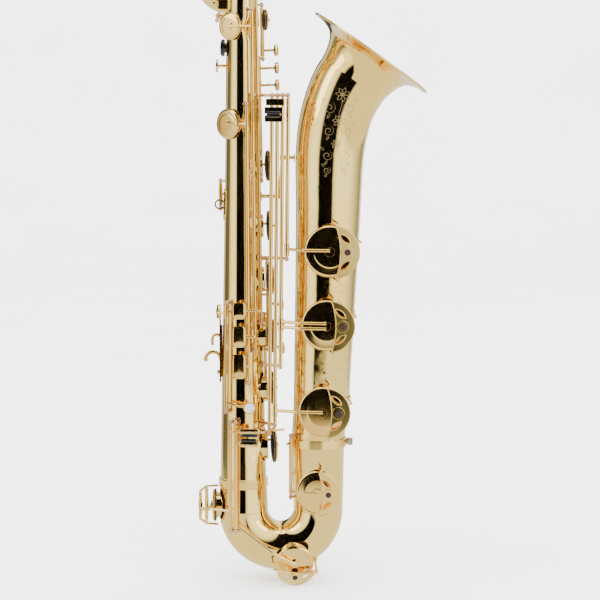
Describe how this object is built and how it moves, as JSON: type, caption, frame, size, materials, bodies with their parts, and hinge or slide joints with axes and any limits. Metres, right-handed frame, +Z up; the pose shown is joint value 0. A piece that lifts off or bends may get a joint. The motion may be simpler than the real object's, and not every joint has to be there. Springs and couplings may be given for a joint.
{
  "type": "baritone saxophone",
  "caption": "Low A baritone saxophone: conical tube, bow, upturned bell, upper loop, neck and mouthpiece, with sprung keys on hinge rods.",
  "frame": {"origin": "centre of the strap ring's eye, from which the instrument hangs", "axes": "+Z up along the body tube, +X towards the bell's opening and away from the player, -Y towards the bell-key guards on the player's right"},
  "size_m": [0.4207, 0.1694, 1.0703],
  "materials": {
    "lacquered_brass": "polished",
    "black_plastic": "gloss",
    "cane": "satin",
    "cork": "matte",
    "steel": "satin",
    "felt": "matte"
  },
  "bodies": {
    "instrument": {"body_tube": "lacquered_brass", "bow": "lacquered_brass", "bell": "lacquered_brass", "body_clamp_ring": "lacquered_brass", "bell_clamp_ring": "lacquered_brass", "clamp_screws": "lacquered_brass", "upper_bow": "lacquered_brass", "loop_tube": "lacquered_brass", "neck_receiver": "lacquered_brass", "neck_screw": "lacquered_brass", "neck": "lacquered_brass", "neck_cork": "cork", "mouthpiece": "black_plastic", "reed": "cane", "ligature": "lacquered_brass", "strap_ring": "lacquered_brass", "thumb_hook": "lacquered_brass", "thumb_rest": "black_plastic", "lyre_socket": "lacquered_brass", "bell_brace": "lacquered_brass", "loop_brace": "lacquered_brass", "low_a_guard": "lacquered_brass", "low_bflat_guard": "lacquered_brass", "low_b_guard": "lacquered_brass", "low_csharp_guard": "lacquered_brass", "low_c_guard": "lacquered_brass", "low_eflat_guard": "lacquered_brass", "guard_bumpers": "felt", "key_posts": "lacquered_brass", "pivot_rods": "steel"},
    "d_key": {"d_key": "lacquered_brass"},
    "e_key": {"e_key": "lacquered_brass"},
    "f_key": {"f_key": "lacquered_brass"},
    "fsharp_key": {"fsharp_key": "lacquered_brass"},
    "g_key": {"g_key": "lacquered_brass"},
    "a_key": {"a_key": "lacquered_brass"},
    "b_key": {"b_key": "lacquered_brass"},
    "c_key": {"c_key": "lacquered_brass"},
    "gsharp_key": {"gsharp_key": "lacquered_brass"},
    "palm_d_key": {"palm_d_key": "lacquered_brass"},
    "palm_eflat_key": {"palm_eflat_key": "lacquered_brass"},
    "palm_f_key": {"palm_f_key": "lacquered_brass"},
    "side_bflat_key": {"side_bflat_key": "lacquered_brass"},
    "side_c_key": {"side_c_key": "lacquered_brass"},
    "high_e_key": {"high_e_key": "lacquered_brass"},
    "low_a_key": {"low_a_key": "lacquered_brass"},
    "low_bflat_key": {"low_bflat_key": "lacquered_brass", "low_bflat_touch": "lacquered_brass"},
    "low_b_key": {"low_b_key": "lacquered_brass", "low_b_touch": "lacquered_brass"},
    "low_csharp_lever": {"low_csharp_lever": "lacquered_brass", "low_csharp_touch": "lacquered_brass"},
    "low_csharp_key": {"low_csharp_key": "lacquered_brass"},
    "low_c_key": {"low_c_key": "lacquered_brass"},
    "low_eflat_key": {"low_eflat_key": "lacquered_brass"},
    "octave_lever": {"octave_lever": "lacquered_brass"},
    "octave_vent_key": {"octave_vent_key": "lacquered_brass"},
    "alternate_fsharp_key": {"alternate_fsharp_key": "lacquered_brass"},
    "neck_octave_key": {"neck_octave_key": "lacquered_brass"},
    "water_key": {"water_key": "lacquered_brass"}
  },
  "joints": [
    {"name": "d_key_hinge", "type": "hinge", "parent": "instrument", "child": "d_key", "pos_m": [0.05105, 0.0375, -0.248], "axis": [0.019, 0, -0.9998], "range_deg": [0, 7.97], "stiffness_Nm_per_rad": 0.12, "springref_deg": -20.05},
    {"name": "e_key_hinge", "type": "hinge", "parent": "instrument", "child": "e_key", "pos_m": [0.05557, 0.0325, -0.196], "axis": [0.019, 0, -0.9998], "range_deg": [0, 9.21], "stiffness_Nm_per_rad": 0.12, "springref_deg": -20.05},
    {"name": "f_key_hinge", "type": "hinge", "parent": "instrument", "child": "f_key", "pos_m": [0.05972, 0.027, -0.151], "axis": [0.019, 0, -0.9998], "range_deg": [0, 11.1], "stiffness_Nm_per_rad": 0.12, "springref_deg": -20.05},
    {"name": "fsharp_key_hinge", "type": "hinge", "parent": "instrument", "child": "fsharp_key", "pos_m": [0.05857, 0.027, -0.0905], "axis": [0.019, 0, -0.9998], "range_deg": [0, 11.1], "stiffness_Nm_per_rad": 0.12, "springref_deg": -20.05},
    {"name": "g_key_hinge", "type": "hinge", "parent": "instrument", "child": "g_key", "pos_m": [0.04529, 0.0375, 0.056], "axis": [0.019, 0, -0.9998], "range_deg": [0, 7.97], "stiffness_Nm_per_rad": 0.12, "springref_deg": -20.05},
    {"name": "a_key_hinge", "type": "hinge", "parent": "instrument", "child": "a_key", "pos_m": [0.04988, 0.0325, 0.104], "axis": [0.019, 0, -0.9998], "range_deg": [0, 9.21], "stiffness_Nm_per_rad": 0.12, "springref_deg": -20.05},
    {"name": "b_key_hinge", "type": "hinge", "parent": "instrument", "child": "b_key", "pos_m": [0.05282, 0.027, 0.213], "axis": [0.019, 0, -0.9998], "range_deg": [0, 11.1], "stiffness_Nm_per_rad": 0.12, "springref_deg": -20.05},
    {"name": "c_key_hinge", "type": "hinge", "parent": "instrument", "child": "c_key", "pos_m": [0.05162, 0.027, 0.276], "axis": [0.019, 0, -0.9998], "range_deg": [0, 11.1], "stiffness_Nm_per_rad": 0.12, "springref_deg": -20.05},
    {"name": "gsharp_key_hinge", "type": "hinge", "parent": "instrument", "child": "gsharp_key", "pos_m": [0.00042, 0.01867, 0.011], "axis": [0.0065, -0.0178, 0.9998], "range_deg": [0, 9], "stiffness_Nm_per_rad": 0.12, "springref_deg": -20.05},
    {"name": "palm_d_key_hinge", "type": "hinge", "parent": "instrument", "child": "palm_d_key", "pos_m": [0.04984, 0.017, 0.317], "axis": [-0.019, 0, 0.9998], "range_deg": [0, 9], "stiffness_Nm_per_rad": 0.12, "springref_deg": -20.05},
    {"name": "palm_eflat_key_hinge", "type": "hinge", "parent": "instrument", "child": "palm_eflat_key", "pos_m": [0.04905, 0.017, 0.359], "axis": [-0.019, 0, 0.9998], "range_deg": [0, 9], "stiffness_Nm_per_rad": 0.12, "springref_deg": -20.05},
    {"name": "palm_f_key_hinge", "type": "hinge", "parent": "instrument", "child": "palm_f_key", "pos_m": [0.04821, 0.017, 0.403], "axis": [-0.019, 0, 0.9998], "range_deg": [0, 9], "stiffness_Nm_per_rad": 0.12, "springref_deg": -20.05},
    {"name": "side_bflat_key_hinge", "type": "hinge", "parent": "instrument", "child": "side_bflat_key", "pos_m": [0.03542, -0.02997, -0.048], "axis": [-0.0043, 0.0185, 0.9998], "range_deg": [0, 8], "stiffness_Nm_per_rad": 0.12, "springref_deg": -20.05},
    {"name": "side_c_key_hinge", "type": "hinge", "parent": "instrument", "child": "side_c_key", "pos_m": [0.0427, -0.02562, 0.0295], "axis": [-0.0092, 0.0166, 0.9998], "range_deg": [0, 8], "stiffness_Nm_per_rad": 0.12, "springref_deg": -20.05},
    {"name": "high_e_key_hinge", "type": "hinge", "parent": "instrument", "child": "high_e_key", "pos_m": [0.04815, -0.01965, 0.109], "axis": [-0.0134, 0.0134, 0.9998], "range_deg": [0, 8], "stiffness_Nm_per_rad": 0.12, "springref_deg": -20.05},
    {"name": "low_a_key_hinge", "type": "hinge", "parent": "instrument", "child": "low_a_key", "pos_m": [0.08451, -0.036, 0.035], "axis": [0.0099, 0, 1], "range_deg": [0, 9.03], "stiffness_Nm_per_rad": 0.12, "springref_deg": -20.05},
    {"name": "low_bflat_key_hinge", "type": "hinge", "parent": "instrument", "child": "low_bflat_key", "pos_m": [0.07735, -0.036, -0.032], "axis": [0.0099, 0, 1], "range_deg": [0, 8.72], "stiffness_Nm_per_rad": 0.12, "springref_deg": -20.05},
    {"name": "low_b_key_hinge", "type": "hinge", "parent": "instrument", "child": "low_b_key", "pos_m": [0.07048, -0.036, -0.069], "axis": [0.0099, 0, 1], "range_deg": [0, 8.36], "stiffness_Nm_per_rad": 0.12, "springref_deg": -20.05},
    {"name": "low_csharp_lever_hinge", "type": "hinge", "parent": "instrument", "child": "low_csharp_lever", "pos_m": [0.06393, -0.036, -0.074], "axis": [-0.0099, 0, -1], "range_deg": [0, 8], "stiffness_Nm_per_rad": 0.12, "springref_deg": -20.05},
    {"name": "low_csharp_key_hinge", "type": "hinge", "parent": "instrument", "child": "low_csharp_key", "pos_m": [0.0885, -0.026, -0.3265], "axis": [0, 0, -1], "range_deg": [0, 9], "stiffness_Nm_per_rad": 0.12, "springref_deg": -20.05},
    {"name": "low_c_key_hinge", "type": "hinge", "parent": "instrument", "child": "low_c_key", "pos_m": [0.02, -0.038, -0.33765], "axis": [0, 0, 1], "range_deg": [0, 7], "stiffness_Nm_per_rad": 0.12, "springref_deg": -20.05},
    {"name": "low_eflat_key_hinge", "type": "hinge", "parent": "instrument", "child": "low_eflat_key", "pos_m": [0.013, -0.036, -0.33765], "axis": [0, 0, 1], "range_deg": [0, 6], "stiffness_Nm_per_rad": 0.12, "springref_deg": -20.05},
    {"name": "octave_lever_hinge", "type": "hinge", "parent": "instrument", "child": "octave_lever", "pos_m": [0.01044, 0.01744, 0.171], "axis": [0.0136, -0.0132, 0.9998], "range_deg": [0, 7], "stiffness_Nm_per_rad": 0.12, "springref_deg": -20.05},
    {"name": "octave_vent_key_hinge", "type": "hinge", "parent": "instrument", "child": "octave_vent_key", "pos_m": [0.02715, 0.02166, 0.436], "axis": [-0.0095, -0.0164, 0.9998], "range_deg": [0, 10], "stiffness_Nm_per_rad": 0.12, "springref_deg": -20.05},
    {"name": "alternate_fsharp_key_hinge", "type": "hinge", "parent": "instrument", "child": "alternate_fsharp_key", "pos_m": [0.00823, -0.02595, -0.1885], "axis": [-0.0117, -0.0149, -0.9998], "range_deg": [0, 8], "stiffness_Nm_per_rad": 0.12, "springref_deg": -20.05},
    {"name": "neck_octave_key_hinge", "type": "hinge", "parent": "instrument", "child": "neck_octave_key", "pos_m": [0.02537, 0.05, 0.5863], "axis": [0, 1, 0], "range_deg": [0, 3], "stiffness_Nm_per_rad": 0.12, "springref_deg": -20.05},
    {"name": "water_key_hinge", "type": "hinge", "parent": "instrument", "child": "water_key", "pos_m": [0.00397, 0.0485, 0.23356], "axis": [0.9002, 0.4356, 0], "range_deg": [0, 14], "stiffness_Nm_per_rad": 0.12, "springref_deg": -20.05}
  ],
  "couplings": [
    {"joint": "low_csharp_key_hinge", "follows": "low_csharp_lever_hinge", "ratio": 1.125},
    {"joint": "octave_vent_key_hinge", "follows": "octave_lever_hinge", "ratio": 1.4286},
    {"joint": "neck_octave_key_hinge", "follows": "octave_lever_hinge", "ratio": 0.4286}
  ]
}
